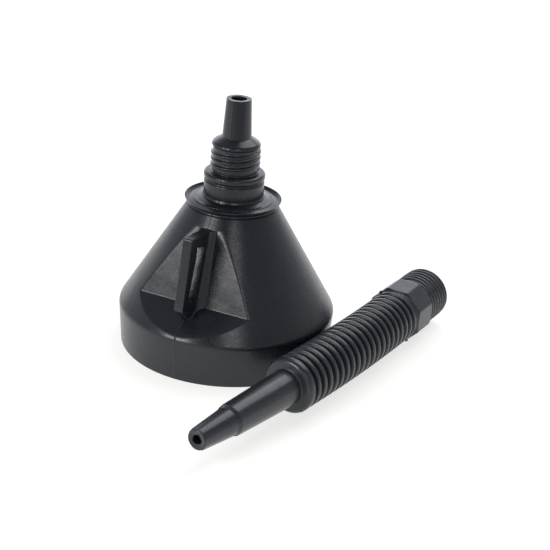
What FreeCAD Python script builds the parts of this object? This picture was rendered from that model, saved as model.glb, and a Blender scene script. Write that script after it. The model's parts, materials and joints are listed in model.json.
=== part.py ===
"""Two-piece plastic funnel: a wide bowl with a threaded neck and rigid spout, and a flexible screw-on spout.

The bowl stands mouth down, with the recess and its handle web facing -Y.  The flexible spout lies
beside it on the same surface.  Origin: centre of the mouth, on the surface.  +Z is up, in millimetres.
"""
import FreeCAD, Part
import math
import os

V = FreeCAD.Vector

# ---- driving dimensions: bowl -------------------------------------------------------------------
WALL = 1.8
MOUTH_R = 73.4
RIM_R = 75.5
RIM_Z = 29.6
CONE_TOP_R = 31.0
CONE_TOP_Z = 103.6
COLLAR_R = 33.1
COLLAR_TOP_Z = 110.0
NECK_R = 20.6
NECK_TOP_Z = 122.4
BEAD_R = 20.9
BEAD_TOP_Z = 127.4
THREAD_ROOT_R = 15.5
THREAD_CREST_R = 16.9
THREAD_PITCH = 4.1
THREAD_TURNS = 3.3
THREAD_START_Z = 129.5
SHOULDER_R = 16.5
SHOULDER_Z = 145.0
SPOUT_BASE_R = 9.9
SPOUT_BASE_Z = 151.2
SPOUT_TIP_R = 8.4
TOP_Z = 178.0
SPOUT_BORE_R = 5.6
SPOUT_BORE_LEN = 10.0

# ---- driving dimensions: finger recess and handle web, as (distance out from the axis, height) ----
RECESS_BACK_FOOT = (50.8, 46.1)
RECESS_BACK_HEAD = (34.6, 96.0)
RECESS_REACH = 25.0
WEB_T = 6.6
WEB_FILLET = 6.5
WEB_OUTER_TOP = (63.2, 98.2)
WEB_OUTER_FOOT = (72.0, 49.5)
WEB_TOE_R = 60.0
WEB_ROOT_TOP = (35.5, 96.0)
WINDOW = [(57.8, 90.8), (64.6, 54.4), (53.2, 50.3), (44.8, 87.4)]
WINDOW_CORNER_R = 2.0

# ---- driving dimensions: flexible spout, as stations along its axis from the nozzle's tip --------
NOZZLE_TIP_R = 6.9
NOZZLE_STEP_S = 32.0
NOZZLE_STEP_R = (9.2, 10.3)
NOZZLE_BASE_S = 90.0
NOZZLE_BASE_R = 12.1
NOZZLE_BORE_R = 4.0
NOZZLE_BORE_LEN = 12.0
CAP_R = 19.0
CAP_END_S = 97.0
BELLOWS_END_S = 230.4
RING_COUNT = 19
RING_CREST_R = 18.85
RING_ROOT_R = 15.7
RING_WALL = 1.3
CREST_HALF = 1.3
ROOT_HALF = 2.3
GRIP_END_S = 255.4
GRIP_FLAT_R = 19.55
SOCKET_END_S = 283.4
SOCKET_CREST_R = 19.1
SOCKET_ROOT_R = 18.1
SOCKET_BORE_R = 16.0
SOCKET_GROOVE_R = 17.7
SOCKET_MOUTH_R = 18.0
SOCKET_MOUTH_LEN = 4.0
SOCKET_LIP_R = 19.35
GRIP_BORE_R = 14.0
LUG_REACH = 2.6
LUG_WIDTH = 1.6
LUG_LENGTH = 2.2
LUG_ANGLE_DEG = -40.0
TIP_XY = (65.6, -164.4)
HEADING_DEG = 79.0
BELLOWS_TURN_DEG = 6.1

# ---- small shared sizes --------------------------------------------------------------------------
EPS = 0.01
BIG = 200.0
PITCH = (BELLOWS_END_S - CAP_END_S) / (RING_COUNT + 1)
NAMES = []


def export(shape, name):
    """Write one named node, a single valid solid or a group of them."""
    shape = shape.removeSplitter()
    if not shape.isValid():
        raise ValueError(name + " is not a valid solid")
    solids = shape.Solids
    body = solids[0] if len(solids) == 1 else Part.makeCompound(solids)
    body.exportStep("parts/" + name + ".step")
    NAMES.append((name, len(solids), round(body.Volume)))


def unit(a, b):
    d = math.hypot(b[0] - a[0], b[1] - a[1])
    return ((b[0] - a[0]) / d, (b[1] - a[1]) / d)


def rounded_face(points, place):
    """Closed outline from (u, v, corner radius) points; place maps (u, v) to a 3-D point."""
    count = len(points)
    starts, ends, mids = [], [], []
    for i, (u, v, r) in enumerate(points):
        if r == 0:
            starts.append((u, v))
            mids.append((u, v))
            ends.append((u, v))
            continue
        before = unit((u, v), points[i - 1])
        after = unit((u, v), points[(i + 1) % count])
        cosine = before[0] * after[0] + before[1] * after[1]
        half = 0.5 * math.acos(max(-1.0, min(1.0, cosine)))
        reach = r / math.tan(half)
        starts.append((u + before[0] * reach, v + before[1] * reach))
        ends.append((u + after[0] * reach, v + after[1] * reach))
        bis = (before[0] + after[0], before[1] + after[1])
        size = math.hypot(*bis)
        depth = r / math.sin(half) - r
        mids.append((u + bis[0] / size * depth, v + bis[1] / size * depth))
    edges = []
    for i in range(count):
        if points[i][2] > 0:
            edges.append(Part.Arc(place(*starts[i]), place(*mids[i]), place(*ends[i])).toShape())
        a, b = place(*ends[i]), place(*starts[(i + 1) % count])
        if a.distanceToPoint(b) > EPS:
            edges.append(Part.LineSegment(a, b).toShape())
    return Part.Face(Part.Wire(edges))


def turned(points):
    """Solid of revolution about Z from (radius, height, corner radius) points."""
    face = rounded_face(points, lambda r, z: V(r, 0, z))
    return face.revolve(V(0, 0, 0), V(0, 0, 1), 360)


def sharp(points):
    return [(r, z, 0.0) for r, z in points]


def prism_x(points, half_width):
    """Solid from a (distance out along -Y, height, corner radius) outline, centred on X = 0."""
    face = rounded_face(points, lambda d, z: V(-half_width, -d, z))
    return face.extrude(V(2 * half_width, 0, 0))


def floor_height(d):
    """Height of the recess floor at a distance out from the axis: it runs down to the rim's crease."""
    foot_d, foot_z = RECESS_BACK_FOOT
    return foot_z + (RIM_Z - foot_z) * (d - foot_d) / (RIM_R - foot_d)


def recess_tool(grow):
    """Wedge that presses the recess into the cone; grow moves its walls into the bowl."""
    foot, head = RECESS_BACK_FOOT, RECESS_BACK_HEAD
    back = unit(foot, head)
    along = unit(foot, (RIM_R, RIM_Z))
    back_in = (-back[1], back[0])
    floor_in = (along[1], -along[0])
    cosine = 1.0 + back_in[0] * floor_in[0] + back_in[1] * floor_in[1]
    corner = (
        foot[0] + grow * (back_in[0] + floor_in[0]) / cosine,
        foot[1] + grow * (back_in[1] + floor_in[1]) / cosine,
    )
    top = (head[0] + grow * (back_in[0] + back[0]), head[1] + grow * (back_in[1] + back[1]))
    far = (top[0] + RECESS_REACH * 2, top[1] + 0.3 * RECESS_REACH)
    out = (corner[0] + along[0] * RECESS_REACH * 2, corner[1] + along[1] * RECESS_REACH * 2)
    rounding = 1.0 + grow
    return prism_x([(*corner, rounding), (*top, rounding), (*far, 0.0), (*out, 0.0)], RIM_R)


def make_bowl():
    slope = math.hypot(RIM_R - CONE_TOP_R, CONE_TOP_Z - RIM_Z)
    side = WALL * slope / (CONE_TOP_Z - RIM_Z)
    outer = turned([
        (0, 0, 0), (MOUTH_R, 0, 0.8), (RIM_R, RIM_Z, 2.2), (CONE_TOP_R, CONE_TOP_Z, 0), (0, CONE_TOP_Z, 0),
    ])
    inner = turned([
        (0, -1, 0), (MOUTH_R - WALL, -1, 0), (RIM_R - WALL, RIM_Z - 0.9, 1.0),
        (CONE_TOP_R - side, CONE_TOP_Z + EPS, 0), (0, CONE_TOP_Z + EPS, 0),
    ])
    shell = outer.cut(recess_tool(0.0)).cut(inner.cut(recess_tool(WALL)))
    return shell


def make_handle_web():
    """Upright plate that grows from the recess, with flared root and a finger window."""
    toe = (WEB_TOE_R, floor_height(WEB_TOE_R))
    plate = prism_x([
        (*RECESS_BACK_FOOT, 0), (*toe, 1.0), (*WEB_OUTER_FOOT, 2.0), (*WEB_OUTER_TOP, 1.5),
        (*WEB_ROOT_TOP, 0), (RECESS_BACK_HEAD[0], WEB_ROOT_TOP[1] - 1.0, 0),
    ], WEB_T / 2)
    flare = make_root_flare()
    window = prism_x([(d, z, WINDOW_CORNER_R) for d, z in WINDOW], WEB_T)
    keep = turned([(0, 0, 0), (RIM_R, 0, 0), (RIM_R, TOP_Z, 0), (0, TOP_Z, 0)])
    web = plate.fuse(flare).cut(window).common(keep)
    return web.common(recess_tool(0.0))


def make_root_flare():
    """Concave fillets along both sides of the web's root, running up the recess's back wall."""
    foot, head = RECESS_BACK_FOOT, RECESS_BACK_HEAD
    up = unit(foot, head)
    out = (up[1], -up[0])
    half = WEB_T / 2
    wide = half + WEB_FILLET
    bend = WEB_FILLET * (1 - math.sqrt(0.5))

    def place(u, v):
        return V(u, -(foot[0] + out[0] * v), foot[1] + out[1] * v)

    right = Part.Arc(place(wide, 0), place(half + bend, bend), place(half, WEB_FILLET)).toShape()
    front = Part.LineSegment(place(half, WEB_FILLET), place(-half, WEB_FILLET)).toShape()
    left = Part.Arc(place(-half, WEB_FILLET), place(-half - bend, bend), place(-wide, 0)).toShape()
    back = Part.LineSegment(place(-wide, 0), place(wide, 0)).toShape()
    face = Part.Face(Part.Wire([right, front, left, back]))
    run = (WEB_ROOT_TOP[1] - foot[1]) / up[1]
    lead = 4.0
    start = V(0, up[0] * lead, -up[1] * lead)
    return face.translated(start).extrude(V(0, -up[0], up[1]) * (run + lead))


def make_collar():
    """Flat annular step between the cone and the neck, open inside."""
    inside = CONE_TOP_R - 2 * WALL
    bore = NECK_R - WALL
    return turned([
        (inside, CONE_TOP_Z, 0), (COLLAR_R, CONE_TOP_Z, 1.2), (COLLAR_R, COLLAR_TOP_Z, 1.6),
        (bore, COLLAR_TOP_Z, 0), (bore, COLLAR_TOP_Z - WALL, 0.6), (inside, COLLAR_TOP_Z - WALL, 0.6),
    ])


def helical_ridge(radius, depth, start_z, turns, pitch):
    """Trapezoid ridge wound on a cylinder of that radius, standing outward by its depth."""
    helix = Part.makeHelix(pitch, turns * pitch, radius)
    embed = 0.3
    base, top = 0.36 * pitch, 0.14 * pitch
    profile = [(-embed, -base), (depth, -top), (depth, top), (-embed, base)]
    points = [V(radius + u, 0, v) for u, v in profile]
    wire = Part.makePolygon(points + [points[0]])
    ridge = Part.Wire(helix).makePipeShell([wire], True, True)
    return ridge.translated(V(0, 0, start_z))


def make_neck():
    """Plain cylinder, a rounded bead and the threaded stub, open from end to end."""
    bore = THREAD_ROOT_R - WALL
    body = turned([
        (NECK_R - WALL, COLLAR_TOP_Z, 0), (NECK_R + 0.8, COLLAR_TOP_Z, 0), (NECK_R, COLLAR_TOP_Z + 1.0, 0.5),
        (NECK_R, NECK_TOP_Z - 1.6, 0.5), (NECK_R - 0.7, NECK_TOP_Z - 0.6, 0.3),
        (BEAD_R, NECK_TOP_Z + 0.4, 1.2), (BEAD_R, BEAD_TOP_Z - 0.4, 2.0), (THREAD_ROOT_R, BEAD_TOP_Z, 0.6),
        (THREAD_ROOT_R, SHOULDER_Z, 0), (bore, SHOULDER_Z, 0), (bore, BEAD_TOP_Z - WALL, 1.0),
        (NECK_R - WALL, BEAD_TOP_Z - WALL, 1.5),
    ])
    depth = THREAD_CREST_R - THREAD_ROOT_R
    thread = helical_ridge(THREAD_ROOT_R, depth, THREAD_START_Z, THREAD_TURNS, THREAD_PITCH)
    return body.fuse(thread)


def make_rigid_spout():
    """Domed shoulder on the threaded stub, then the slim tapered spout with a plain outlet bore."""
    bore = THREAD_ROOT_R - WALL
    return turned([
        (bore, SHOULDER_Z, 0), (SHOULDER_R, SHOULDER_Z, 0.5), (SHOULDER_R, SHOULDER_Z + 2.6, 3.0),
        (SPOUT_BASE_R + 1.2, SPOUT_BASE_Z - 0.3, 1.5), (SPOUT_BASE_R, SPOUT_BASE_Z, 0.4),
        (SPOUT_TIP_R, TOP_Z, 0.4), (SPOUT_BORE_R, TOP_Z, 0.4), (SPOUT_BORE_R, TOP_Z - SPOUT_BORE_LEN, 0.5),
        (SPOUT_BASE_R - WALL, SPOUT_BASE_Z, 1.0), (SPOUT_BASE_R, SPOUT_BASE_Z - WALL - 0.4, 1.0),
        (bore, SHOULDER_Z + 1.6, 1.0),
    ])


def axis_at(s):
    """Point on the spout's axis at station s, and its heading: straight, a slow bend, straight."""
    heading = math.radians(HEADING_DEG)
    bend = math.radians(BELLOWS_TURN_DEG)
    radius = (BELLOWS_END_S - CAP_END_S) / bend
    x, y = TIP_XY
    before = min(s, CAP_END_S)
    x += before * math.cos(heading)
    y += before * math.sin(heading)
    turned_by = max(0.0, min(s, BELLOWS_END_S) - CAP_END_S) / radius
    x += radius * (math.sin(heading + turned_by) - math.sin(heading))
    y -= radius * (math.cos(heading + turned_by) - math.cos(heading))
    after = max(0.0, s - BELLOWS_END_S)
    x += after * math.cos(heading + turned_by)
    y += after * math.sin(heading + turned_by)
    return x, y, heading + turned_by


def lay(shape, s):
    """Lay a shape made about Z, with its zero at station s, along the spout on the surface."""
    x, y, heading = axis_at(s)
    c, n = math.cos(heading), math.sin(heading)
    matrix = FreeCAD.Matrix(0, n, c, x, 0, -c, n, y, 1, 0, 0, GRIP_FLAT_R, 0, 0, 0, 1)
    copy = shape.copy()
    copy.Placement = FreeCAD.Placement(matrix)
    return copy


def make_nozzle_tip():
    small, large = NOZZLE_STEP_R
    return turned([
        (NOZZLE_BORE_R, 0, 0.6), (NOZZLE_TIP_R, 0, 0.8), (small, NOZZLE_STEP_S - 3.0, 1.0),
        (large, NOZZLE_STEP_S, 0), (large - WALL, NOZZLE_STEP_S, 0),
        (small - WALL, NOZZLE_STEP_S - 3.0, 1.0), (NOZZLE_BORE_R, NOZZLE_BORE_LEN, 0.6),
    ])


def make_nozzle_body():
    large = NOZZLE_STEP_R[1]
    return turned([
        (large - WALL, NOZZLE_STEP_S, 0), (large, NOZZLE_STEP_S, 0), (NOZZLE_BASE_R, NOZZLE_BASE_S, 0),
        (NOZZLE_BASE_R - WALL, NOZZLE_BASE_S, 0),
    ])


def make_cap():
    """Rounded shoulder between the nozzle and the first groove of the bellows."""
    skirt = CAP_END_S + (ROOT_HALF - CREST_HALF)
    return turned([
        (NOZZLE_BASE_R - WALL, NOZZLE_BASE_S, 0), (NOZZLE_BASE_R, NOZZLE_BASE_S, 0),
        (NOZZLE_BASE_R + 0.2, NOZZLE_BASE_S + 1.2, 0.8), (CAP_R, NOZZLE_BASE_S + 1.8, 3.0),
        (CAP_R, CAP_END_S, 0.8), (RING_ROOT_R, skirt, 0), (RING_ROOT_R - RING_WALL, skirt, 0),
        (CAP_R - WALL, CAP_END_S - WALL, 0.8), (CAP_R - WALL, NOZZLE_BASE_S + 1.8 + WALL, 1.5),
        (NOZZLE_BASE_R - WALL, NOZZLE_BASE_S + 1.2 + WALL, 0.8),
    ])


def make_ring():
    """One convolution of the bellows about station zero, as a hollow ridge open to the bore."""
    crest_in = RING_CREST_R - RING_WALL
    root_in = RING_ROOT_R - RING_WALL
    return turned([
        (RING_ROOT_R, -ROOT_HALF, 0), (RING_CREST_R, -CREST_HALF, 0.9), (RING_CREST_R, CREST_HALF, 0.9),
        (RING_ROOT_R, ROOT_HALF, 0), (root_in, ROOT_HALF, 0), (crest_in, CREST_HALF * 0.5, 0.4),
        (crest_in, -CREST_HALF * 0.5, 0.4), (root_in, -ROOT_HALF, 0),
    ])


def ring_station(k):
    return CAP_END_S - CREST_HALF + PITCH * k


def octagon(apothem, s0, s1):
    """Eight-sided prism about Z with a flat side towards +X, its corners slightly rounded."""
    corner = apothem / math.cos(math.pi / 8)
    points = [
        (corner * math.cos(math.pi * (k + 0.5) / 4), corner * math.sin(math.pi * (k + 0.5) / 4), 1.0)
        for k in range(8)
    ]
    return rounded_face(points, lambda u, v: V(u, v, s0)).extrude(V(0, 0, s1 - s0))


def make_grip():
    """Octagonal grip with turned-down ends, a stub that meets the bellows, and two parting lugs."""
    length = GRIP_END_S - BELLOWS_END_S
    corner_r = GRIP_FLAT_R / math.cos(math.pi / 8)
    body = octagon(GRIP_FLAT_R, 0, length)
    rounding = turned([
        (0, 0, 0), (GRIP_FLAT_R + 0.4, 0, 0), (corner_r, 1.2, 0), (corner_r, length - 2.0, 0),
        (GRIP_FLAT_R - 0.3, length, 0), (0, length, 0),
    ])
    stub_len = BELLOWS_END_S - ring_station(RING_COUNT + 1) + ROOT_HALF
    stub = turned(sharp([
        (GRIP_BORE_R, -stub_len), (RING_ROOT_R, -stub_len), (RING_ROOT_R, EPS), (GRIP_BORE_R, EPS),
    ]))
    hollow = turned(sharp([(0, -BIG), (GRIP_BORE_R, -BIG), (GRIP_BORE_R, BIG), (0, BIG)]))
    return body.common(rounding).fuse(stub).fuse(make_lugs()).cut(hollow)


def make_lugs():
    """Two thin tabs in the parting plane, beside the grip's front face."""
    inner = RING_ROOT_R - 1.0
    reach = GRIP_FLAT_R + LUG_REACH - inner
    tabs = []
    for turn in (0, 180):
        corner = V(inner, -LUG_WIDTH / 2, -LUG_LENGTH / 2)
        tab = Part.makeBox(reach, LUG_WIDTH, LUG_LENGTH, corner)
        tab.rotate(V(0, 0, 0), V(0, 0, 1), LUG_ANGLE_DEG + turn)
        tabs.append(tab)
    return Part.makeCompound(tabs)


def make_socket():
    """Threaded end: a tube whose wound thread is a groove inside and a ridge outside, then a plain lip."""
    length = SOCKET_END_S - GRIP_END_S
    lip = length - SOCKET_MOUTH_LEN
    tube = turned([
        (SOCKET_BORE_R, 0, 0), (SOCKET_ROOT_R, 0, 0), (SOCKET_ROOT_R, lip, 0), (SOCKET_LIP_R, lip, 0),
        (SOCKET_LIP_R, length, 0.4), (SOCKET_MOUTH_R, length, 0), (SOCKET_MOUTH_R, lip, 0),
        (SOCKET_BORE_R, lip - 1.0, 0),
    ])
    start = 0.6 * THREAD_PITCH
    turns = (lip - start) / THREAD_PITCH
    ridge = helical_ridge(SOCKET_ROOT_R, SOCKET_CREST_R - SOCKET_ROOT_R, start, turns, THREAD_PITCH)
    groove = helical_ridge(SOCKET_BORE_R, SOCKET_GROOVE_R - SOCKET_BORE_R, start, turns, THREAD_PITCH)
    return tube.fuse(ridge).cut(groove)


def main():
    os.makedirs("parts", exist_ok=True)
    export(make_bowl(), "bowl")
    export(make_handle_web(), "handle_web")
    export(make_collar(), "collar")
    export(make_neck(), "threaded_neck")
    export(make_rigid_spout(), "rigid_spout")
    export(lay(make_nozzle_tip(), 0), "nozzle_tip")
    export(lay(make_nozzle_body(), 0), "nozzle_body")
    export(lay(make_cap(), 0), "nozzle_cap")
    ring = make_ring()
    for k in range(1, RING_COUNT + 1):
        export(lay(ring, ring_station(k)), "bellows_ring_%02d" % k)
    export(lay(make_grip(), BELLOWS_END_S), "octagon_grip")
    export(lay(make_socket(), GRIP_END_S), "screw_socket")
    for name, count, volume in NAMES:
        print(name, count, "solid(s)", volume, "mm3")


main()
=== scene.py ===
"""Looks of a two-piece plastic funnel: a bowl with a threaded neck and a flexible screw-on spout.

Outlines are in millimetres in each piece's own frame and become metres when the mesh is made.
Places, outer sizes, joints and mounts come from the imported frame. The constants below repeat the
CAD's section dimensions and add the small roundings, seams and edges that only the looks have.
"""

import json
import math

import bmesh
import bpy
import numpy as np
from mathutils import Matrix, Vector


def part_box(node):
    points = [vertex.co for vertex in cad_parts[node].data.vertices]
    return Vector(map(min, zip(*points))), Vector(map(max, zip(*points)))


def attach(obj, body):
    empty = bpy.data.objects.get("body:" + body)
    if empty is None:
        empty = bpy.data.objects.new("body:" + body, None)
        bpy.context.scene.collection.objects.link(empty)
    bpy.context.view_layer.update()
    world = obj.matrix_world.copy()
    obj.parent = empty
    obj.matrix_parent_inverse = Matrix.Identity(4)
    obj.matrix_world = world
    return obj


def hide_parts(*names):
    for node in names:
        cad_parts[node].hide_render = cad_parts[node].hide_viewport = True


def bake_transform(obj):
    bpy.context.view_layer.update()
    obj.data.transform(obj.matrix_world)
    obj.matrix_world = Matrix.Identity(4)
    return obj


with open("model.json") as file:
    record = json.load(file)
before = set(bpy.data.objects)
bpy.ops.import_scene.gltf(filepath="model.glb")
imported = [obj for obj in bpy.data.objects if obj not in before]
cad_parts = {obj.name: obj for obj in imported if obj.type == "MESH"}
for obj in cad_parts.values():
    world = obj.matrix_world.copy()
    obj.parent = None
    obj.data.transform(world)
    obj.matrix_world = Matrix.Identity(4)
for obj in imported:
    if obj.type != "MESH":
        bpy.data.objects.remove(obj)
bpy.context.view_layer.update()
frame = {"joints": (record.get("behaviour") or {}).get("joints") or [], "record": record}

MM = 0.001
TAU = 2 * math.pi
RECORD = frame["record"]
JOINTS = {j["name"]: j for j in frame["joints"]}

# ---- bowl, millimetres ---------------------------------------------------------------------------
WALL = 1.8
RIM_TAPER = 2.1
CREASE_Z = 29.6
CREASE_ROUND = 6.0
CONE_TOP_R = 31.0
# Corners of the recess as (distance out from the axis plane, height).
RECESS_FOOT = (50.8, 46.1)
RECESS_HEAD = (34.6, 96.0)
RECESS_TOP_SLOPE = 6.7
RECESS_SILL_Z = 31.6
RECESS_ROUND = 0.9
RECESS_FLOOR_BLEND = 0.6
RECESS_TOP_BLEND = 1.0
RECESS_LEAST_HALF = 6.0
RECESS_EDGE_BAND = 2.6
LEAST_COLUMN_R = 30.0
FAR_AWAY = 1e3
PARTING_HEIGHT = 0.16
PARTING_WIDTH = 0.35
# Shares of the parting line's height: on the rim band, on the recess's floor, on the cone.
PARTING_ON_RIM, PARTING_ON_FLOOR, PARTING_ON_CONE = 1.0, 2.6, 0.4

# ---- handle web ----------------------------------------------------------------------------------
WEB_HALF = 3.3
WEB_FILLET = 6.5
WEB_FLOOR_FILLET = 2.5
# Both outlines are (distance out, height, corner radius).
WEB_OUTLINE = [
    (50.6, 45.6, 0.2), (60.0, 39.6, 1.0), (71.9, 49.5, 2.4), (63.1, 98.1, 1.3), (34.8, 95.8, 0.2),
]
WINDOW_OUTLINE = [(57.8, 90.8, 2.0), (64.6, 54.4, 2.0), (53.2, 50.3, 2.0), (44.8, 87.4, 2.0)]
WEB_CENTRE = (55.4, 70.0)
WEB_EDGE_ROUND = 0.5
WEB_FACE_ROWS = 22
WEB_EDGE_ROWS = 6
WEB_EDGE_SUPPORT = -0.6

# ---- neck and rigid spout ------------------------------------------------------------------------
COLLAR_INNER_R = 27.5
COLLAR_SEAM_FROM_R = 29.0
NECK_R = 20.6
NECK_TOP_Z = 122.4
BEAD_TOP_Z = 127.4
THREAD_ROOT_R = 15.5
THREAD_DEPTH = 1.4
THREAD_PITCH = 4.1
THREAD_TURNS = 3.3
THREAD_START_Z = 129.5
THREAD_SEAM_HEIGHT = 0.12
SPOUT_BASE_R = 9.9
SPOUT_BASE_Z = 151.2
SPOUT_TIP_R = 8.4
SPOUT_BORE_R = 5.6
SPOUT_LIP_R = 5.1
SPOUT_BORE_LEN = 10.0
SPOUT_SEAM_HEIGHT = 0.14

# ---- flexible spout ------------------------------------------------------------------------------
NOZZLE_TIP_R = 6.9
NOZZLE_STEP_R = (9.2, 10.3)
NOZZLE_STEP_S = 32.0
NOZZLE_BASE_R = 12.1
NOZZLE_BASE_S = 90.0
NOZZLE_BORE_R = 4.0
NOZZLE_BORE_LEN = 12.0
NOZZLE_LIP_R = 3.2
NOZZLE_SPLIT_S = 33.5
CAP_R = 19.0
CREST_R = 18.85
ROOT_R = 15.7
CREST_HALF = 1.3
ROOT_HALF = 2.3
BELLOWS_WALL = 1.3
GRIP_FLAT_R = 19.55
GRIP_BORE_R = 14.0
GRIP_CORNER_ROUND = 0.8
SOCKET_LENGTH = 28.0
SOCKET_ROOT_R = 18.1
SOCKET_RIDGE = 1.0
SOCKET_BORE_R = 16.0
SOCKET_MOUTH_R = 18.0
SOCKET_MOUTH_LEN = 4.0
SOCKET_START_LAP = 0.4
FLASH_ANGLE_DEG = 52.0
FLASH_HEIGHT = 0.3
FLASH_WIDTH = 0.4
CAP_SEAM_HEIGHT = 0.16
BELLOWS_SEAM_HEIGHT = 0.10
GRIP_SEAM_HEIGHT = 0.12
SOCKET_SEAM_HEIGHT = 0.14
LUG_REACH = 1.2


# ---- outlines ------------------------------------------------------------------------------------
def corner_arc(before, corner, after, radius, parts):
    """Points of the arc that rounds one corner of an outline."""
    p, a, b = np.array(corner), np.array(before) - corner, np.array(after) - corner
    a, b = a / np.linalg.norm(a), b / np.linalg.norm(b)
    half = 0.5 * math.acos(float(np.clip(a @ b, -1, 1)))
    if radius == 0 or half > 0.499 * math.pi:
        return [p]
    bisector = (a + b) / np.linalg.norm(a + b)
    centre = p + bisector * radius / math.sin(half)
    start = p + a * radius / math.tan(half) - centre
    sweep = math.pi - 2 * half
    turn = 1.0 if start[0] * b[1] - start[1] * b[0] > 0 else -1.0
    angles = [turn * sweep * i / parts for i in range(parts + 1)]
    return [centre + [start[0] * math.cos(t) - start[1] * math.sin(t),
                      start[0] * math.sin(t) + start[1] * math.cos(t)] for t in angles]


def outline(points, step=1.5, closed=True, parts=6, support=0.18):
    """Rounded outline through (u, v, corner radius) points, with short faces beside each corner."""
    count = len(points)
    pieces = []
    for i, (u, v, radius) in enumerate(points):
        if not closed and i in (0, count - 1):
            pieces.append([np.array((u, v))])
        else:
            before, after = points[i - 1][:2], points[(i + 1) % count][:2]
            pieces.append(corner_arc(before, (u, v), after, radius, parts))
    out = []
    for i in range(count if closed else count - 1):
        a, b = pieces[i][-1], pieces[(i + 1) % count][0]
        length = np.linalg.norm(b - a)
        out += pieces[i]
        if length > 3 * support:
            inner = max(1, int(math.ceil((length - 2 * support) / step)))
            stops = [support + (length - 2 * support) * k / inner for k in range(inner + 1)]
            out += [a + (b - a) * s / length for s in stops]
    if not closed:
        out += pieces[-1]
    keep = [p for i, p in enumerate(out) if i == 0 or np.linalg.norm(p - out[i - 1]) > 1e-4]
    return np.array(keep)


def ripple(angles, seed, low=2, high=7):
    """Smooth wavering round a circle, about -1 to 1, the same at every run."""
    rng = np.random.default_rng(seed)
    total = np.zeros_like(angles, dtype=float)
    for k in range(low, high + 1):
        total += rng.uniform(0.4, 1.0) / k * np.sin(k * angles + rng.uniform(0, TAU))
    return total


def bump_at(offset, width):
    """A bell of height 1 at offset 0."""
    return np.exp(-((offset / width) ** 2))


def fine_columns(count, lines, width):
    """Angles round a circle: even, with extra ones within a few widths (radians) of each line."""
    even = np.linspace(0, TAU, count, endpoint=False)
    widths = (-2.2, -1.5, -1, -0.6, -0.3, 0, 0.3, 0.6, 1, 1.5, 2.2)
    extra = np.array([line + width * k for line in lines for k in widths]) % TAU
    gap = TAU / count
    far = [a for a in even if min(abs(wrapped(a - e)) for e in extra) > 0.4 * gap]
    return np.array(sorted(far + list(extra)))


def wrapped(angle):
    """The same angle between -pi and pi."""
    return (angle + math.pi) % TAU - math.pi


def smooth_min(a, b, width):
    h = np.clip(0.5 + 0.5 * (b - a) / width, 0, 1)
    return b + (a - b) * h - width * h * (1 - h)


def smooth_max(a, b, width):
    return -smooth_min(-a, -b, width)


def smooth_step(x):
    x = np.clip(x, 0, 1)
    return x * x * (3 - 2 * x)


# ---- meshes --------------------------------------------------------------------------------------
def mesh_object(name, vertices, faces, sharp_deg=55):
    """A mesh object in metres from millimetre points: smooth faces outward, true corners sharp."""
    mesh = bpy.data.meshes.new(name)
    mesh.from_pydata((np.asarray(vertices) * MM).tolist(), [], faces)
    work = bmesh.new()
    work.from_mesh(mesh)
    bmesh.ops.recalc_face_normals(work, faces=work.faces)
    work.to_mesh(mesh)
    work.free()
    mesh.shade_smooth()
    mesh.set_sharp_from_angle(angle=math.radians(sharp_deg))
    obj = bpy.data.objects.new(name, mesh)
    bpy.context.scene.collection.objects.link(obj)
    return obj


def ring_faces(rows, columns):
    """Quads of a closed grid that wraps both ways: a tube wall with thickness."""
    i = np.arange(rows)[:, None]
    j = np.arange(columns)[None, :]
    i2, j2 = (i + 1) % rows, (j + 1) % columns
    quads = np.stack([i * columns + j, i * columns + j2, i2 * columns + j2, i2 * columns + j], -1)
    return quads.reshape(-1, 4).tolist()


def turned(name, profile, columns, change=None, place=None):
    """Closed outline turned about Z. change moves (radius, height) by angle; place lays it down."""
    r = np.repeat(profile[:, 0][:, None], len(columns), 1)
    z = np.repeat(profile[:, 1][:, None], len(columns), 1)
    a = np.repeat(columns[None, :], len(profile), 0)
    if change is not None:
        r, z = change(r, z, a)
    points = np.stack([r * np.cos(a), r * np.sin(a), z], -1)
    if place is not None:
        points = place(points)
    return mesh_object(name, points.reshape(-1, 3), ring_faces(*r.shape))


def finish_piece(obj, material, nodes):
    obj.data.materials.append(material)
    if nodes:
        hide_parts(*nodes)
    return obj


# ---- materials -----------------------------------------------------------------------------------
class Shader:
    """A node material with short calls for adding and joining its nodes."""

    def __init__(self, name):
        self.material = bpy.data.materials.new(name)
        self.material.use_nodes = True
        self.tree = self.material.node_tree
        self.tree.nodes.clear()
        self.out = self.add("ShaderNodeOutputMaterial")
        self.bsdf = self.add("ShaderNodeBsdfPrincipled")
        self.join(self.bsdf, "BSDF", self.out, "Surface")
        self.where = self.add("ShaderNodeTexCoord")

    def add(self, kind, **inputs):
        node = self.tree.nodes.new(kind)
        for key, value in inputs.items():
            node.inputs[key.replace("_", " ")].default_value = value
        return node

    def join(self, a, output, b, socket):
        self.tree.links.new(a.outputs[output], b.inputs[socket])

    def noise(self, scale, detail=3.0, roughness=0.5, distortion=0.0):
        node = self.add("ShaderNodeTexNoise", Scale=scale, Detail=detail, Roughness=roughness,
                        Distortion=distortion)
        self.join(self.where, "Object", node, "Vector")
        return node

    def ramp(self, source, output, low, high, dark, light):
        node = self.add("ShaderNodeMapRange", From_Min=low, From_Max=high, To_Min=dark,
                        To_Max=light)
        self.join(source, output, node, "Value")
        return node

    def bump(self, source, output, distance, before=None, strength=1.0):
        node = self.add("ShaderNodeBump", Strength=strength, Distance=distance)
        self.join(source, output, node, "Height")
        if before is not None:
            self.join(before, "Normal", node, "Normal")
        return node


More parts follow.
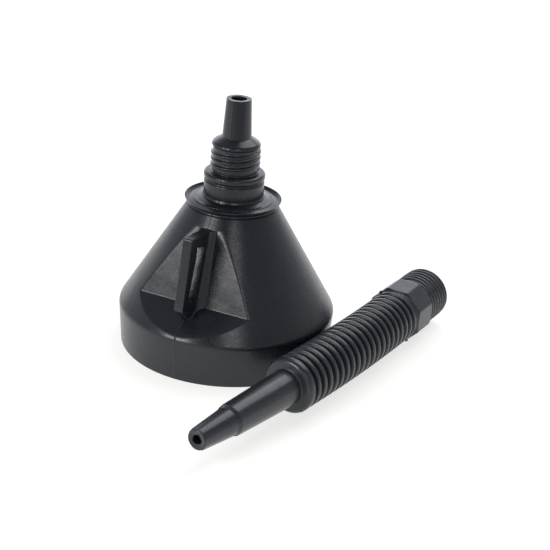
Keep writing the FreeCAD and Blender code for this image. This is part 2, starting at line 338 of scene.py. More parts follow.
# Noise scales per metre and bump depths in metres.
CLOUD_SCALE, SCUFF_SCALE = 38.0, 420.0
WAVE_SCALE, PEEL_SCALE, GRAIN_SCALE = 45.0, 900.0, 3200.0
WAVE_DEPTH, PEEL_DEPTH, GRAIN_DEPTH = 0.0012, 0.000022, 0.000012
WAVE_STRENGTH = 0.35
PLASTIC_IOR = 1.5


def moulded_plastic(name, base, worn, rough):
    """Black blow-moulded plastic: faint orange peel, slow waviness, scuffs and a waxy gloss."""
    s = Shader(name)
    s.bsdf.inputs["IOR"].default_value = PLASTIC_IOR
    s.bsdf.inputs["Specular IOR Level"].default_value = 0.5
    cloud = s.noise(CLOUD_SCALE, 4.0, 0.6)
    scuff = s.noise(SCUFF_SCALE, 3.0, 0.7, 0.4)
    colour = s.add("ShaderNodeMix")
    colour.data_type = "RGBA"
    colour.inputs["A"].default_value = (*base, 1)
    colour.inputs["B"].default_value = (*worn, 1)
    share = s.ramp(cloud, "Fac", 0.35, 0.75, 0.0, 1.0)
    s.join(share, "Result", colour, "Factor")
    s.join(colour, "Result", s.bsdf, "Base Color")
    gloss = s.ramp(scuff, "Fac", 0.3, 0.7, rough - 0.05, rough + 0.07)
    s.join(gloss, "Result", s.bsdf, "Roughness")
    slow = s.bump(s.noise(WAVE_SCALE, 2.0), "Fac", WAVE_DEPTH, strength=WAVE_STRENGTH)
    peel = s.bump(s.noise(PEEL_SCALE, 2.0), "Fac", PEEL_DEPTH, slow)
    grain = s.bump(s.noise(GRAIN_SCALE, 2.0), "Fac", GRAIN_DEPTH, peel)
    s.join(grain, "Normal", s.bsdf, "Normal")
    return s.material


PLASTIC_ROUGHNESS = 0.27
BOWL_PLASTIC = moulded_plastic(
    "bowl_plastic_look", (0.0070, 0.0086, 0.0130), (0.0100, 0.0112, 0.0160), PLASTIC_ROUGHNESS)
# The spout's plastic is lighter than the bowl's. This is partly its own lighter, bluer tone and
# partly painted light, standing in for more light on the spout.
SPOUT_PLASTIC = moulded_plastic(
    "spout_plastic_look", (0.0135, 0.0165, 0.0220), (0.0170, 0.0200, 0.0260), PLASTIC_ROUGHNESS)


# ---- bowl ----------------------------------------------------------------------------------------
def millimetres(node):
    """Corners of a CAD node's box, in millimetres."""
    lo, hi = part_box(node)
    return np.array(lo) / MM, np.array(hi) / MM


BOWL_HI = millimetres("bowl")[1]
RIM_R = float(BOWL_HI[0])
CONE_TOP_Z = float(BOWL_HI[2])


def recess_limit(z, grow):
    """Distance out from the axis plane to the recess's back wall, floor or top, by height."""
    foot_d, foot_z = RECESS_FOOT
    head_d, head_z = RECESS_HEAD
    back_lean = (head_d - foot_d) / (head_z - foot_z)
    floor_lean = (RIM_R - foot_d) / (RECESS_SILL_Z - foot_z)
    back = foot_d + back_lean * (z - foot_z) - grow * math.hypot(1, back_lean)
    floor = foot_d + floor_lean * (z - foot_z) - grow * math.hypot(1, floor_lean)
    top = head_d + RECESS_TOP_SLOPE * (z - head_z - grow)
    return smooth_max(smooth_max(back, floor, RECESS_FLOOR_BLEND), top, RECESS_TOP_BLEND)


def bowl_columns(z, radius):
    """Angles from the recess's middle at one height: dense at its edge and the parting lines."""
    limit = recess_limit(z, 0.0)
    edge = math.acos(min(1.0, limit / radius)) if limit < radius else 0.0
    edge = max(edge, RECESS_LEAST_HALF / radius)
    near = RECESS_EDGE_BAND / radius
    inside = np.concatenate([[0, 0.1, 0.2, 0.35, 0.55, 0.9],
                             np.linspace(1.6, (edge - near) * radius, 26)]) / radius
    border = edge + np.linspace(-1, 1, 19)[1:-1] * near
    line = np.array([0.9, 0.55, 0.35, 0.2, 0.1, 0]) / radius
    outside = np.linspace(edge + near, math.pi - 1.6 / radius, 96)
    half = np.concatenate([inside, border, outside, math.pi - line])
    return np.concatenate([half, -half[-2:0:-1]])


def bowl_seam(a, r, z):
    """Parting line down the front, stronger on the recess's floor, and down the back."""
    floor_heights = (CREASE_Z + 1, CREASE_Z + 3, RECESS_FOOT[1] - 1, RECESS_FOOT[1] + 1)
    shares = (PARTING_ON_RIM, PARTING_ON_FLOOR, PARTING_ON_FLOOR, PARTING_ON_CONE)
    front = np.interp(z, floor_heights, shares)
    back = PARTING_ON_CONE if z > CREASE_Z + 1 else PARTING_ON_RIM
    at_front = bump_at(a * r, PARTING_WIDTH)
    at_back = bump_at(wrapped(a - math.pi) * r, PARTING_WIDTH)
    return front * at_front + back * at_back


def bowl_surface(profile, grow):
    """Rows of points of one side of the wall, pressed in at the recess."""
    rows = []
    for r, z in profile:
        a = bowl_columns(z, max(r, LEAST_COLUMN_R))
        limit = float(recess_limit(np.array(z), grow)) / np.maximum(np.cos(a), 1e-3)
        limit = np.where(np.cos(a) > 0.05, limit, FAR_AWAY)
        radius = smooth_min(np.full_like(a, r), limit, RECESS_ROUND)
        if grow == 0.0:
            radius = radius + PARTING_HEIGHT * bowl_seam(a, r, z)
        rows.append(np.stack([radius * np.sin(a), -radius * np.cos(a), np.full_like(a, z)], -1))
    return rows


def cone_radius(z):
    return RIM_R + (CONE_TOP_R - RIM_R) * (z - CREASE_Z) / (CONE_TOP_Z - CREASE_Z)


def bowl_profile_outer():
    """(radius, height) rows from the mouth up, dense where the recess turns from floor to top."""
    path = outline([
        (RIM_R - RIM_TAPER - WALL, 0, 0), (RIM_R - RIM_TAPER, 0, 0.8),
        (RIM_R, CREASE_Z, CREASE_ROUND), (CONE_TOP_R, CONE_TOP_Z, 0),
    ], step=1.2, closed=False, parts=8)
    foot_rows = RECESS_FOOT[1] + np.linspace(-1.5, 1.5, 13)
    head_rows = RECESS_HEAD[1] + np.linspace(-1.2, 1.2, 15)
    rows = [tuple(p) for p in path]
    rows += [(cone_radius(z), z) for z in np.concatenate([foot_rows, head_rows])]
    flat = [p for p in rows if p[1] < 1e-6]
    rest = sorted((p for p in rows if p[1] >= 1e-6), key=lambda p: p[1])
    keep = [rest[0]]
    for p in rest[1:]:
        if p[1] - keep[-1][1] > 0.02:
            keep.append(p)
    return sorted(flat) + keep


def bowl_profile_inner():
    """(radius, height) rows of the inside, one wall in from the outside."""
    side = WALL * math.hypot(RIM_R - CONE_TOP_R, CONE_TOP_Z - CREASE_Z) / (CONE_TOP_Z - CREASE_Z)
    path = outline([(RIM_R - RIM_TAPER - WALL, 0.0, 0), (RIM_R - WALL, CREASE_Z - 0.9, 1.0),
                    (CONE_TOP_R - side, CONE_TOP_Z, 0)], step=2.0, closed=False)
    return [tuple(p) for p in path[1:]]


def make_bowl():
    outer = bowl_surface(bowl_profile_outer(), 0.0)
    inner = bowl_surface(bowl_profile_inner(), WALL)
    rows = outer + inner[::-1]
    grid = np.array(rows)
    obj = mesh_object("bowl_shell", grid.reshape(-1, 3), ring_faces(*grid.shape[:2]))
    finish_piece(obj, BOWL_PLASTIC, ["bowl"])
    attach(obj, "funnel_bowl")


# ---- handle web ----------------------------------------------------------------------------------
def ray_hits(loop, centre, angles):
    """Distance from the centre to a closed outline in each direction."""
    a = loop - centre
    b = np.roll(a, -1, 0)
    out = []
    for t in angles:
        d = np.array((math.cos(t), math.sin(t)))
        across_a = a[:, 0] * d[1] - a[:, 1] * d[0]
        across_b = b[:, 0] * d[1] - b[:, 1] * d[0]
        hit = (across_a >= 0) != (across_b >= 0)
        share = across_a[hit] / (across_a[hit] - across_b[hit])
        reach = (a[hit] + (b - a)[hit] * share[:, None]) @ d
        out.append(reach[reach > 0].max())
    return np.array(out)


def web_half_width(d, z):
    """Half thickness of the web: a plate with concave fillets where it grows out of the recess."""
    foot_d, foot_z = RECESS_FOOT
    head_d, head_z = RECESS_HEAD
    up = np.array((head_d - foot_d, head_z - foot_z))
    up = up / np.linalg.norm(up)
    from_wall = (d - foot_d) * up[1] - (z - foot_z) * up[0]
    along = np.array((RIM_R - foot_d, CREASE_Z - foot_z))
    along = along / np.linalg.norm(along)
    from_floor = (z - foot_z) * along[0] - (d - foot_d) * along[1]
    flare = np.zeros_like(d)
    for distance, size in ((from_wall, WEB_FILLET), (from_floor, WEB_FLOOR_FILLET)):
        v = np.clip(distance + 0.04, 0.0, size)
        flare = np.maximum(flare, size - np.sqrt(size ** 2 - (size - v) ** 2))
    return WEB_HALF + flare


def make_web():
    centre = np.array(WEB_CENTRE)
    outer = outline(WEB_OUTLINE, step=2.0)
    window = outline(WINDOW_OUTLINE, step=2.0)
    turns = [np.arctan2(*(loop - centre).T[::-1]) for loop in (outer, window)]
    turns = np.sort(np.concatenate(turns) % TAU)
    turns = turns[np.concatenate([[True], np.diff(turns) > 0.002])]
    far, near = ray_hits(outer, centre, turns), ray_hits(window, centre, turns)
    heads = np.stack([np.cos(turns), np.sin(turns)], -1)
    share = 0.5 - 0.5 * np.cos(np.linspace(0, math.pi, WEB_FACE_ROWS))
    edge = np.linspace(0, 0.5 * math.pi, WEB_EDGE_ROWS)
    rows = []
    for side in (1, -1):
        side_rows = [(near, WEB_EDGE_SUPPORT)]
        low, high = near + WEB_EDGE_ROUND, far - WEB_EDGE_ROUND
        for t in edge[:-1]:
            side_rows.append((near + WEB_EDGE_ROUND * (1 - math.cos(t)), math.sin(t)))
        for s in share:
            side_rows.append((low + (high - low) * s, 1.0))
        for t in edge[::-1][1:]:
            side_rows.append((far - WEB_EDGE_ROUND * (1 - math.cos(t)), math.sin(t)))
        side_rows.append((far, WEB_EDGE_SUPPORT))
        if side < 0:
            side_rows = side_rows[::-1]
        for reach, rise in side_rows:
            flat = centre + heads * reach[:, None]
            half = web_half_width(flat[:, 0], flat[:, 1])
            x = side * (half - WEB_EDGE_ROUND * (1 - rise))
            rows.append(np.stack([x, -flat[:, 0], flat[:, 1]], -1))
    grid = np.array(rows)
    obj = mesh_object("handle_web_plate", grid.reshape(-1, 3), ring_faces(*grid.shape[:2]))
    finish_piece(obj, BOWL_PLASTIC, ["handle_web"])
    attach(obj, "funnel_bowl")


# ---- collar, neck and rigid spout ----------------------------------------------------------------
SEAMS = (0.5 * math.pi, 1.5 * math.pi)


def with_seam(radius_floor, height=PARTING_HEIGHT, width=PARTING_WIDTH, lines=SEAMS):
    """A change for turned(): a thin raised parting line down each side of the outer surface."""
    def change(r, z, a):
        rise = sum(bump_at(wrapped(a - line) * r, width) for line in lines)
        return np.where(r > radius_floor, r + height * rise, r), z
    return change


def make_collar():
    lo, hi = millimetres("collar")
    radius, bottom, top = hi[0], lo[2], hi[2]
    inside = NECK_R - WALL
    profile = outline([
        (COLLAR_INNER_R, bottom, 0.3), (radius, bottom, 1.3), (radius, top, 1.7),
        (inside, top, 0.3), (inside, top - WALL, 0.3), (COLLAR_INNER_R, top - WALL, 0.3),
    ])
    columns = fine_columns(220, SEAMS, PARTING_WIDTH / radius)
    obj = turned("collar_ring", profile, columns, with_seam(COLLAR_SEAM_FROM_R))
    finish_piece(obj, BOWL_PLASTIC, ["collar"])
    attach(obj, "funnel_bowl")


# Shares of the pitch taken by half the ridge's flat top and by one flank, and turns to fade in.
RIDGE_FLAT, RIDGE_FLANK, RIDGE_FADE = 0.10, 0.24, 0.08


def thread_height(z, a, start, turns, pitch):
    """Share of the ridge's height at a height and angle: right-hand, fading out at both ends."""
    total = np.zeros_like(z)
    for lap in range(int(math.ceil(turns)) + 1):
        wound = a / TAU + lap
        centre = start + pitch * wound
        across = np.abs(z - centre) / pitch
        ridge = 1 - smooth_step((across - RIDGE_FLAT) / RIDGE_FLANK)
        fade = smooth_step(wound / RIDGE_FADE) * smooth_step((turns - wound) / RIDGE_FADE)
        total = np.maximum(total, np.where((wound >= 0) & (wound <= turns), ridge * fade, 0))
    return total


def make_neck():
    lo, hi = millimetres("threaded_neck")
    bottom, top = lo[2], hi[2]
    bead_r = hi[0] - 0.5
    bore = THREAD_ROOT_R - WALL
    profile = outline([
        (NECK_R - WALL, bottom - 0.2, 0), (NECK_R + 0.7, bottom - 0.2, 0),
        (NECK_R, bottom + 1.1, 0.9), (NECK_R, NECK_TOP_Z - 2.0, 0.6),
        (NECK_R - 1.1, NECK_TOP_Z - 0.4, 0.5), (bead_r, NECK_TOP_Z + 0.9, 1.2),
        (bead_r, BEAD_TOP_Z - 0.3, 2.0), (THREAD_ROOT_R, BEAD_TOP_Z, 0.5),
        (THREAD_ROOT_R, top, 0), (bore, top, 0),
        (bore, BEAD_TOP_Z - WALL, 1.0), (NECK_R - WALL, BEAD_TOP_Z - WALL, 1.0),
    ], step=0.3, support=0.12)

    def change(r, z, a):
        wound = thread_height(z, a, THREAD_START_Z, THREAD_TURNS, THREAD_PITCH)
        r = np.where(r > THREAD_ROOT_R - 0.5, r + THREAD_DEPTH * wound, r)
        return with_seam(THREAD_ROOT_R - 0.5, THREAD_SEAM_HEIGHT)(r, z, a)

    columns = fine_columns(240, SEAMS, PARTING_WIDTH / NECK_R)
    obj = turned("neck_moulding", profile, columns, change)
    finish_piece(obj, BOWL_PLASTIC, ["threaded_neck"])
    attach(obj, "funnel_bowl")


# The cut ends of both spouts are a little uneven: seeds and waver in millimetres.
SPOUT_END_SEED, SPOUT_BORE_SEED, NOZZLE_END_SEED, NOZZLE_BORE_SEED = 5, 9, 21, 13
BORE_WAVER = 0.45


def make_rigid_spout():
    lo, hi = millimetres("rigid_spout")
    shoulder_r, bottom, top = hi[0], lo[2], hi[2]
    bore = THREAD_ROOT_R - WALL
    profile = outline([
        (bore, bottom, 0), (shoulder_r, bottom, 0.6), (shoulder_r, bottom + 2.6, 3.2),
        (SPOUT_BASE_R + 1.3, SPOUT_BASE_Z - 0.3, 1.4), (SPOUT_BASE_R, SPOUT_BASE_Z + 0.3, 0.5),
        (SPOUT_TIP_R, top, 0.35), (SPOUT_LIP_R, top, 0.3), (SPOUT_LIP_R, top - 0.7, 0.2),
        (SPOUT_BORE_R, top - 1.5, 0.3), (SPOUT_BORE_R, top - SPOUT_BORE_LEN, 0.5),
        (SPOUT_BASE_R - WALL, SPOUT_BASE_Z, 1.0), (SPOUT_BASE_R, SPOUT_BASE_Z - 2.2, 1.0),
        (bore, bottom + 1.6, 1.0),
    ], step=0.8)

    def change(r, z, a):
        r, z = with_seam(SPOUT_BORE_R + 1.2, SPOUT_SEAM_HEIGHT)(r, z, a)
        near_top = smooth_step((z - (top - 2.0)) / 2.0)
        inner = np.clip((SPOUT_TIP_R - r) / (SPOUT_TIP_R - SPOUT_LIP_R), 0, 1)
        z = z - near_top * (0.28 + 0.28 * ripple(a, SPOUT_END_SEED)) * (0.6 + 0.4 * inner)
        r = r + near_top * inner * BORE_WAVER * ripple(a, SPOUT_BORE_SEED)
        return r, z

    columns = fine_columns(180, SEAMS, PARTING_WIDTH / SPOUT_BASE_R)
    obj = turned("rigid_spout_moulding", profile, columns, change)
    finish_piece(obj, BOWL_PLASTIC, ["rigid_spout"])
    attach(obj, "funnel_bowl")


# ---- flexible spout ------------------------------------------------------------------------------
def mount_end(name, depth):
    """Where a bore opens and the way it faces; the record's point lies at that depth inside it."""
    found = [m for m in RECORD["mounts"] if m["name"] == name][0]
    axis = np.array(found["axis"], float)
    return np.array(found["pos_m"]) / MM + axis * depth, axis


def joint_point(number):
    """Where the bellows bends at one groove, counted from the grip."""
    kind = "bend_up" if number % 2 == 0 else "bend_side"
    return np.array(JOINTS["%s_%02d" % (kind, number // 2 + 1)]["pos_m"]) / MM


GROOVES = len([j for j in JOINTS if j.startswith("bend_")])
FIRST, LAST = joint_point(GROOVES - 1), joint_point(0)
TIP, TIP_AXIS = mount_end("nozzle_outlet", NOZZLE_BORE_LEN / 2)
MOUTH, MOUTH_AXIS = mount_end("socket_mouth", SOCKET_MOUTH_LEN / 2)
HEADING = math.atan2(-TIP_AXIS[1], -TIP_AXIS[0])
BELLOWS_TURN = wrapped(math.atan2(MOUTH_AXIS[1], MOUTH_AXIS[0]) - HEADING)
PITCH = float(np.linalg.norm(joint_point(GROOVES - 2) - FIRST))
CAP_CREST_S = float(np.linalg.norm(FIRST - TIP)) - PITCH / 2
BEND_START_S = CAP_CREST_S + CREST_HALF
BEND_END_S = BEND_START_S + PITCH * GROOVES
SOCKET_END_S = BEND_END_S + float((MOUTH - LAST) @ MOUTH_AXIS) - PITCH / 2 - CREST_HALF
GRIP_END_S = SOCKET_END_S - SOCKET_LENGTH


def axis_frame(s):
    """Axis point and heading at each station: straight, one slow bend in the bellows, straight."""
    s = np.asarray(s, float)
    radius = (BEND_END_S - BEND_START_S) / BELLOWS_TURN
    before = np.minimum(s, BEND_START_S)
    turned_by = np.clip(s - BEND_START_S, 0, BEND_END_S - BEND_START_S) / radius
    after = np.maximum(s - BEND_END_S, 0)
    heading = HEADING + turned_by
    x = TIP[0] + before * math.cos(HEADING) + radius * (np.sin(heading) - math.sin(HEADING))
    y = TIP[1] + before * math.sin(HEADING) - radius * (np.cos(heading) - math.cos(HEADING))
    return x + after * np.cos(heading), y + after * np.sin(heading), heading


def lay(points):
    """Points made about Z laid along the spout: Z is the station, X is up, Y is to the right."""
    x, y, heading = axis_frame(points[..., 2])
    up, right = points[..., 0], points[..., 1]
    return np.stack([x + right * np.sin(heading), y - right * np.cos(heading), TIP[2] + up], -1)


FLASH = math.radians(-(90.0 - FLASH_ANGLE_DEG)) % TAU
FLASH_LINES = (FLASH, (FLASH + math.pi) % TAU)


def spout_columns(count, radius):
    """Angles for a section of the flexible spout, dense at its two mould seams."""
    return fine_columns(count, FLASH_LINES, FLASH_WIDTH / radius)


def flash_line(radius_floor, height):
    """The flexible spout's mould seam, as a change for turned()."""
    return with_seam(radius_floor, height, FLASH_WIDTH, FLASH_LINES)


def make_nozzle_tip():
    small, large = NOZZLE_STEP_R
    profile = outline([
        (NOZZLE_LIP_R, 0, 0.4), (NOZZLE_TIP_R, 0, 1.0), (small, NOZZLE_STEP_S - 2.6, 1.6),
        (large, NOZZLE_STEP_S, 1.0), (large + 0.05, NOZZLE_SPLIT_S, 0),
        (large - WALL, NOZZLE_SPLIT_S, 0), (small - WALL, NOZZLE_STEP_S - 3.0, 1.0),
        (NOZZLE_BORE_R, NOZZLE_BORE_LEN, 0.6),
        (NOZZLE_BORE_R, 2.0, 0.4), (NOZZLE_LIP_R, 1.0, 0.3),
    ], step=1.0)

    def change(r, z, a):
        r, z = flash_line(NOZZLE_BORE_R + 1.4, FLASH_HEIGHT)(r, z, a)
        near_end = smooth_step((2.5 - z) / 2.5)
        inner = np.clip((NOZZLE_TIP_R - r) / (NOZZLE_TIP_R - NOZZLE_LIP_R), 0, 1)
        z = z + near_end * (0.3 + 0.25 * ripple(a, NOZZLE_END_SEED))
        return r + near_end * inner * BORE_WAVER * ripple(a, NOZZLE_BORE_SEED), z

    obj = turned("nozzle_tip_moulding", profile, spout_columns(140, NOZZLE_TIP_R), change, lay)
    finish_piece(obj, SPOUT_PLASTIC, ["nozzle_tip"])
    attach(obj, "spout_nozzle")


def make_nozzle_body():
    large = NOZZLE_STEP_R[1]
    profile = outline([
        (large - WALL, NOZZLE_SPLIT_S, 0), (large + 0.05, NOZZLE_SPLIT_S, 0),
        (NOZZLE_BASE_R, NOZZLE_BASE_S, 0), (NOZZLE_BASE_R - WALL, NOZZLE_BASE_S, 0),
    ], step=1.5)
    change = flash_line(8.9, FLASH_HEIGHT)
    obj = turned("nozzle_body_moulding", profile, spout_columns(150, large), change, lay)
    finish_piece(obj, SPOUT_PLASTIC, ["nozzle_body"])
    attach(obj, "spout_nozzle")


def make_cap():
    profile = outline([
        (NOZZLE_BASE_R - WALL, NOZZLE_BASE_S, 0), (NOZZLE_BASE_R, NOZZLE_BASE_S, 0),
        (NOZZLE_BASE_R + 0.3, NOZZLE_BASE_S + 1.0, 0.8), (CAP_R, NOZZLE_BASE_S + 1.6, 3.2),
        (CAP_R, CAP_CREST_S, 0), (CAP_R - BELLOWS_WALL, CAP_CREST_S, 0),
        (CAP_R - WALL, NOZZLE_BASE_S + 3.4, 1.0), (NOZZLE_BASE_R - WALL, NOZZLE_BASE_S + 3.0, 0.6),
    ], step=0.8)
    change = flash_line(11.0, CAP_SEAM_HEIGHT)
    obj = turned("nozzle_cap_moulding", profile, spout_columns(180, CAP_R), change, lay)
    finish_piece(obj, SPOUT_PLASTIC, ["nozzle_cap"])
    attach(obj, "spout_nozzle")


def make_bellows_web(k):
    """The wall from one crest's middle, down through a groove, to the middle of the next crest."""
    start, end = CAP_CREST_S + PITCH * k, CAP_CREST_S + PITCH * (k + 1)
    first_r = CAP_R if k == 0 else CREST_R
    root_in, crest_in = ROOT_R - BELLOWS_WALL, CREST_R - BELLOWS_WALL
    first_in = first_r - BELLOWS_WALL
    profile = outline([
        (first_r, start, 0), (first_r, start + CREST_HALF, 0.85), (ROOT_R, start + ROOT_HALF, 0.7),
        (ROOT_R, end - ROOT_HALF, 0.7), (CREST_R, end - CREST_HALF, 0.85), (CREST_R, end, 0),
        (crest_in, end, 0), (crest_in, end - 0.4 * CREST_HALF, 0.3),
        (root_in, end - ROOT_HALF + 0.5, 0.6), (root_in, start + ROOT_HALF - 0.5, 0.6),
        (first_in, start + 0.4 * CREST_HALF, 0.3), (first_in, start, 0),
    ], step=0.8, parts=5, support=0.1)
    change = flash_line(ROOT_R - 0.5, BELLOWS_SEAM_HEIGHT)
    obj = turned("bellows_web_%02d" % k, profile, spout_columns(150, CREST_R), change, lay)
    nodes = [] if k == 0 else ["bellows_ring_%02d" % k]
    finish_piece(obj, SPOUT_PLASTIC, nodes)
    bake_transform(obj)


def octagon_radius(a, apothem, rounding):
    """Radius of a flat-topped octagon with rounded corners, at each angle."""
    off = np.abs(wrapped(a * 8) / 8)
    near = apothem / np.cos(off)
    other = apothem / np.cos(math.pi / 4 - off)
    return smooth_min(near, other, rounding)


# Radians: half the dense span at a corner, where the even columns begin, and the least step.
CORNER_SPAN, CORNER_GAP, LEAST_STEP = 0.075, 0.1, 0.002


def octagon_columns(count_per_side, extra):
    """Angles round the octagon, dense at its corners and at the extra lines."""
    corners = [math.pi / 8 + k * math.pi / 4 for k in range(8)]
    lines = []
    for corner in corners:
        lines += list(corner + np.linspace(-CORNER_SPAN, CORNER_SPAN, 11))
        next_corner = corner + math.pi / 4
        lines += list(np.linspace(corner + CORNER_GAP, next_corner - CORNER_GAP, count_per_side))
    lines += list(extra)
    lines = sorted(a % TAU for a in lines)
    return np.array([a for i, a in enumerate(lines) if i == 0 or a - lines[i - 1] > LEAST_STEP])


def make_grip():
    """Half a crest, a narrow groove and the octagon, whose ends are turned down."""
    crest, start, end = BEND_END_S - CREST_HALF, BEND_END_S, GRIP_END_S
    corner = GRIP_FLAT_R / math.cos(math.pi / 8)
    profile = outline([
        (GRIP_BORE_R, crest, 0.2), (CREST_R, crest, 0), (CREST_R, start, 0.85),
        (CREST_R - 1.3, start + 0.9, 0.4), (GRIP_FLAT_R - 0.5, start + 1.7, 0.5),
        (corner + 0.3, start + 3.4, 0.8), (corner + 0.3, end - 2.6, 1.2),
        (GRIP_FLAT_R - 0.6, end, 0.8), (GRIP_BORE_R, end, 0.2),
    ], step=0.8)
    widths = (-2, -1, -0.5, 0, 0.5, 1, 2)
    extra = [line + FLASH_WIDTH / corner * k for line in FLASH_LINES for k in widths]
    columns = octagon_columns(9, extra)

    def change(r, z, a):
        outer = smooth_min(r, octagon_radius(a, GRIP_FLAT_R, GRIP_CORNER_ROUND), 0.5)
        r = np.where(r > GRIP_FLAT_R - 0.8, outer, r)
        return flash_line(GRIP_BORE_R + 2.0, GRIP_SEAM_HEIGHT)(r, z, a)

    obj = turned("octagon_grip_moulding", profile, columns, change, lay)
    finish_piece(obj, SPOUT_PLASTIC, ["octagon_grip"])
    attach(obj, "spout_grip")


def make_parting_lug(name, angle):
    """A small tab of the mould's parting flash, beside the grip's front face."""
    inner, reach = CREST_R - 1.0, GRIP_FLAT_R + LUG_REACH
    loop = outline([
        (inner, -1.6, 0.2), (reach - 0.4, -1.1, 0.5), (reach, 0.8, 0.5), (inner, 1.8, 0.2),
    ], step=0.6)
    centre = loop.mean(0)
    rows = []
    # Each row is the outline at a place across the tab, shrunk toward its middle at both faces.
    faces = ((-0.8, 0.0), (-0.8, 0.8), (-0.6, 1.0), (0.6, 1.0), (0.8, 0.8), (0.8, 0.0))
    for across, shrink in faces:
        spread = centre + (loop - centre) * shrink
        up = spread[:, 0] * math.cos(angle) - across * math.sin(angle)
        right = spread[:, 0] * math.sin(angle) + across * math.cos(angle)
        rows.append(np.stack([up, right, BEND_END_S + 1.2 + spread[:, 1]], -1))
    grid = np.array(rows)
    count = grid.shape[1]
    quads = [q for q in ring_faces(*grid.shape[:2]) if max(q) - min(q) <= 2 * count - 1]
    obj = mesh_object(name, lay(grid).reshape(-1, 3), quads)
    finish_piece(obj, SPOUT_PLASTIC, [])
    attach(obj, "spout_grip")


def make_socket():
    start, end = GRIP_END_S, SOCKET_END_S
    lap = start - SOCKET_START_LAP
    profile = outline([
        (GRIP_BORE_R, lap, 0.2), (SOCKET_ROOT_R + 0.6, lap, 0), (SOCKET_ROOT_R, start + 0.6, 0.4),
        (SOCKET_ROOT_R, end - 1.4, 0.4), (SOCKET_ROOT_R + 0.8, end - 0.9, 0.4),
        (SOCKET_ROOT_R + 0.7, end, 0.3), (SOCKET_MOUTH_R - 0.3, end, 0.2),
        (SOCKET_MOUTH_R - 0.4, end - SOCKET_MOUTH_LEN, 0.3),
        (SOCKET_BORE_R, end - SOCKET_MOUTH_LEN - 1.0, 0.3), (SOCKET_BORE_R, start + 2.0, 0.3),
        (GRIP_BORE_R, start + 1.4, 0.3),
    ], step=0.28, support=0.1)
    turns = (end - start - 1.2 * THREAD_PITCH) / THREAD_PITCH

    def change(r, z, a):
        outside = r > SOCKET_ROOT_R - 0.2
        inside = ~outside & (z > start + 2.0)
        inside &= (r > SOCKET_BORE_R - 0.5) & (r < SOCKET_BORE_R + 0.5)
        wound = thread_height(z, a, start + 0.6 * THREAD_PITCH, turns, THREAD_PITCH)
        ridge_top = np.maximum(r, SOCKET_ROOT_R + SOCKET_RIDGE * wound)
        r = np.where(outside, ridge_top, np.where(inside, r + SOCKET_RIDGE * wound, r))
        return flash_line(SOCKET_ROOT_R - 0.2, SOCKET_SEAM_HEIGHT)(r, z, a)

    obj = turned("screw_socket_moulding", profile, spout_columns(220, SOCKET_ROOT_R), change, lay)
    finish_piece(obj, SPOUT_PLASTIC, ["screw_socket"])
    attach(obj, "spout_grip")


# ---- studio --------------------------------------------------------------------------------------
CAMERA_AT = Vector((0.3927, -0.8051, 0.4475))
CAMERA_HEADING_DEG = 113.92
CAMERA_DOWN_DEG = 23.83
CAMERA_ROLL_DEG = 4.383
CAMERA_LENS = 91.64
SENSOR = 36.0
SKY_COLOUR = (0.93, 0.97, 1.05)
SKY_HORIZON_TO_TOP = (0.66, 0.30)
SKY_CAMERA_SIDE = 0.12
SKY_FAR_SIDE = 3.0
FLOOR_NEAR = (0.45, 0.445, 0.435)
# Painted shade: the floor is greyer in front, standing in for the dark room that the neck mirrors.
FLOOR_FRONT = (0.34, 0.34, 0.34)
# Painted light: the floor glows though it is no lamp, which lightens the shadows on it; in front it
# glows less, as painted shade; the warm glow colour tints the shadows warm.
FLOOR_GLOW = 0.70
FLOOR_FRONT_GLOW = 0.10
FLOOR_GLOW_COLOUR = (1.0, 0.995, 0.98)
FLOOR_SIZE = 6.0
# Metres toward the camera between which the floor goes from near to front, into its painted shade.
FLOOR_FADE = (0.27, 0.46)
LIGHT_AIM = Vector((0.02, -0.02, 0.05))
WARM_WHITE, COOL_WHITE = (1.0, 0.99, 0.98), (0.98, 0.99, 1.0)
# Name, heading and height in degrees, distance and size in metres, power in watts, colour.
# Headings are turned from the camera's side; left is positive.
LIGHTS = [
    ("key", 52, 24, 1.3, 0.5, 8, WARM_WHITE),
    ("glint", -8, 33, 1.3, 0.4, 1.6, WARM_WHITE),
    ("top", -140, 58, 1.5, 1.1, 10, COOL_WHITE),
]


def unit_vector(heading, lift):
    """Unit vector at a heading round Z and a lift above level, both in radians."""
    level = math.cos(lift)
    return Vector((math.cos(heading) * level, math.sin(heading) * level, math.sin(lift)))


def camera_axes():
    """Unit vectors ahead of, right of and above the camera."""
    ahead = unit_vector(math.radians(CAMERA_HEADING_DEG), -math.radians(CAMERA_DOWN_DEG))
    right = ahead.cross(Vector((0, 0, 1))).normalized()
    up = right.cross(ahead)
    roll = math.radians(CAMERA_ROLL_DEG)
    cos_roll, sin_roll = math.cos(roll), math.sin(roll)
    return ahead, right * cos_roll + up * sin_roll, up * cos_roll - right * sin_roll


def make_camera():
    data = bpy.data.cameras.new("camera")
    data.lens, data.sensor_width = CAMERA_LENS, SENSOR
    data.clip_start, data.clip_end = 0.01, 50.0
    camera = bpy.data.objects.new("camera", data)
    bpy.context.scene.collection.objects.link(camera)
    ahead, right, up = camera_axes()
    turn = Matrix((right, up, -ahead)).transposed()
    camera.matrix_world = Matrix.Translation(CAMERA_AT) @ turn.to_4x4()
    bpy.context.scene.camera = camera


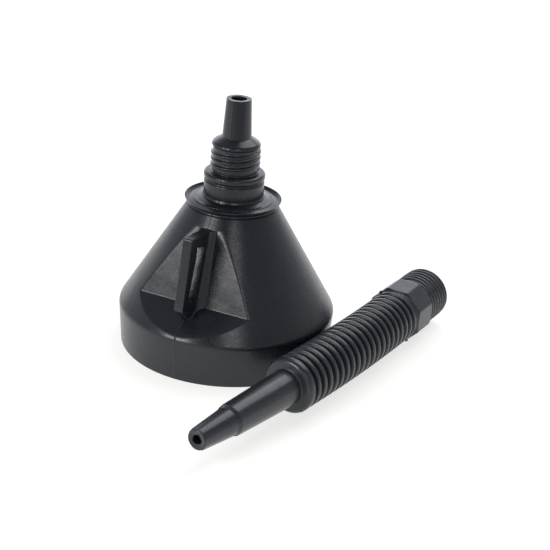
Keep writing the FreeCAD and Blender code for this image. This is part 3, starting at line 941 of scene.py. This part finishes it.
def make_floor():
    """Pale paper that glows as painted light; greyer and dimmer in front as painted shade, standing
    in for the dark room that the neck mirrors.
    """
    corners = [(x * FLOOR_SIZE, y * FLOOR_SIZE, 0) for x, y in ((-1, -1), (1, -1), (1, 1), (-1, 1))]
    mesh = bpy.data.meshes.new("floor")
    mesh.from_pydata(corners, [], [(0, 1, 2, 3)])
    floor = bpy.data.objects.new("floor", mesh)
    bpy.context.scene.collection.objects.link(floor)
    s = Shader("floor_paper")
    ahead = s.add("ShaderNodeVectorMath")
    ahead.operation = "DOT_PRODUCT"
    ahead.inputs[1].default_value = Vector((CAMERA_AT.x, CAMERA_AT.y, 0)).normalized()
    s.join(s.where, "Object", ahead, "Vector")
    # Painted shade: the floor's base colour turns greyer toward the camera.
    shade = s.add("ShaderNodeMix")
    shade.data_type = "RGBA"
    shade.inputs["A"].default_value = (*FLOOR_NEAR, 1)
    shade.inputs["B"].default_value = (*FLOOR_FRONT, 1)
    s.join(s.ramp(ahead, "Value", *FLOOR_FADE, 0.0, 1.0), "Result", shade, "Factor")
    s.join(shade, "Result", s.bsdf, "Base Color")
    # Painted light: the floor's own glow, weaker in front as painted shade.
    glow = s.ramp(ahead, "Value", *FLOOR_FADE, FLOOR_GLOW, FLOOR_FRONT_GLOW)
    s.join(glow, "Result", s.bsdf, "Emission Strength")
    s.bsdf.inputs["Roughness"].default_value = 0.7
    s.bsdf.inputs["Specular IOR Level"].default_value = 0.2
    s.bsdf.inputs["Emission Color"].default_value = (*FLOOR_GLOW_COLOUR, 1)
    floor.data.materials.append(s.material)


def make_light(name, heading_deg, height_deg, distance, size, power, colour):
    """A square soft light aimed at the object."""
    heading = math.atan2(CAMERA_AT.y, CAMERA_AT.x) - math.radians(heading_deg)
    way = unit_vector(heading, math.radians(height_deg))
    data = bpy.data.lights.new(name, "AREA")
    data.shape, data.size, data.energy, data.color = "SQUARE", size, power, colour
    light = bpy.data.objects.new(name, data)
    light.location = LIGHT_AIM + way * distance
    light.rotation_mode = "QUATERNION"
    light.rotation_quaternion = (-way).to_track_quat("-Z", "Y")
    bpy.context.scene.collection.objects.link(light)


def make_world():
    """A white sweep: bright at the horizon, dimmer overhead and dark above the camera's side."""
    world = bpy.data.worlds.new("studio")
    bpy.context.scene.world = world
    world.use_nodes = True
    tree = world.node_tree
    background = tree.nodes["Background"]
    where = tree.nodes.new("ShaderNodeTexCoord")
    join = tree.links.new

    def fade(direction, start, end, low, high):
        """Strength that goes from low to high as the sky's direction turns from start to end."""
        turn = tree.nodes.new("ShaderNodeVectorMath")
        turn.operation = "DOT_PRODUCT"
        turn.inputs[1].default_value = Vector(direction).normalized()
        ramp = tree.nodes.new("ShaderNodeMapRange")
        ramp.interpolation_type = "SMOOTHSTEP"
        sockets = {"From Min": start, "From Max": end, "To Min": low, "To Max": high}
        for key, value in sockets.items():
            ramp.inputs[key].default_value = value
        join(where.outputs["Generated"], turn.inputs[0])
        join(turn.outputs["Value"], ramp.inputs["Value"])
        return ramp

    # The ramps' ends are cosines of the angle from each direction.
    overhead = fade((0, 0, 1), 0.15, 0.62, *SKY_HORIZON_TO_TOP)
    camera_side = fade((CAMERA_AT.x, CAMERA_AT.y, 0.9), 0.87, 0.975, 1.0, SKY_CAMERA_SIDE)
    far_side = fade((-CAMERA_AT.x, -CAMERA_AT.y, 0.2), 0.62, 0.95, 1.0, SKY_FAR_SIDE)
    product = overhead.outputs["Result"]
    for part in (camera_side, far_side):
        times = tree.nodes.new("ShaderNodeMath")
        times.operation = "MULTIPLY"
        join(product, times.inputs[0])
        join(part.outputs["Result"], times.inputs[1])
        product = times.outputs["Value"]
    join(product, background.inputs["Strength"])
    background.inputs["Color"].default_value = (*SKY_COLOUR, 1)


def make_studio():
    bpy.context.scene.view_settings.view_transform = "Standard"
    make_camera()
    make_floor()
    make_world()
    for light in LIGHTS:
        make_light(*light)


make_bowl()
make_web()
make_collar()
make_neck()
make_rigid_spout()
make_nozzle_tip()
make_nozzle_body()
make_cap()
for groove in range(GROOVES):
    make_bellows_web(groove)
make_grip()
make_parting_lug("parting_lug_upper", FLASH_LINES[0])
make_parting_lug("parting_lug_lower", FLASH_LINES[1])
make_socket()
make_studio()
